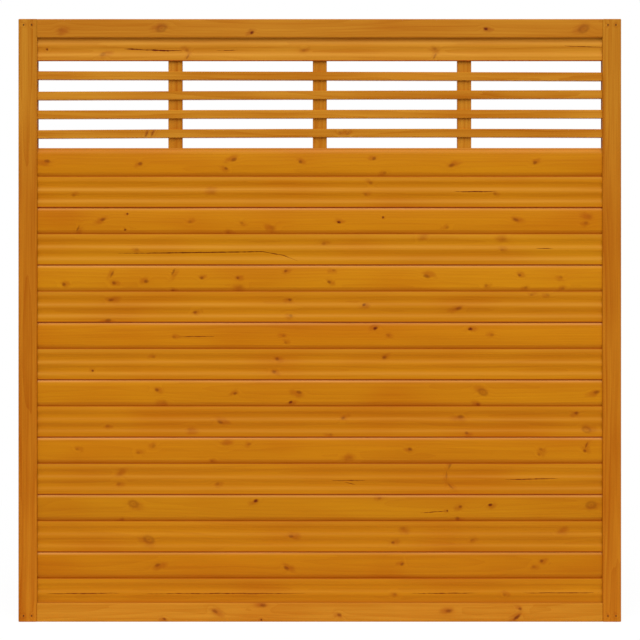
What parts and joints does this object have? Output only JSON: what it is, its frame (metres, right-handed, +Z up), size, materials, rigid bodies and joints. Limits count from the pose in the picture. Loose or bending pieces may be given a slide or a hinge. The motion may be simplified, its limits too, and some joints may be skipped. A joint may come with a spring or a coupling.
{
  "type": "privacy fence panel",
  "caption": "Square stained softwood fence panel: a grooved frame filled with flat and fluted tongue-and-groove boards, with an open slatted lattice below the top rail.",
  "frame": {"origin": "middle of the panel's foot, on the ground line", "axes": "+X along the panel to the right as seen from the front, front face towards -Y, +Z up"},
  "size_m": [1.8, 0.035, 1.8],
  "materials": {
    "stained_pine": "honey-brown translucent stain on knotty pine, satin",
    "nail_steel": "dull nail steel, darkened by stain"
  },
  "bodies": {
    "root": {"left_stile": "stained_pine", "right_stile": "stained_pine", "top_rail": "stained_pine", "bottom_rail": "stained_pine", "header_board": "stained_pine", "flat_board_1": "stained_pine", "flat_board_2": "stained_pine", "flat_board_3": "stained_pine", "flat_board_4": "stained_pine", "flat_board_5": "stained_pine", "flat_board_6": "stained_pine", "flat_board_7": "stained_pine", "flat_board_8": "stained_pine", "fluted_board_1": "stained_pine", "fluted_board_2": "stained_pine", "fluted_board_3": "stained_pine", "fluted_board_4": "stained_pine", "fluted_board_5": "stained_pine", "fluted_board_6": "stained_pine", "fluted_board_7": "stained_pine", "fluted_board_8": "stained_pine", "lattice_slat_1": "stained_pine", "lattice_slat_2": "stained_pine", "lattice_slat_3": "stained_pine", "lattice_slat_4": "stained_pine", "lattice_upright_1": "stained_pine", "lattice_upright_2": "stained_pine", "lattice_upright_3": "stained_pine", "corner_nails": "nail_steel", "lattice_nails": "nail_steel"}
  },
  "joints": []
}
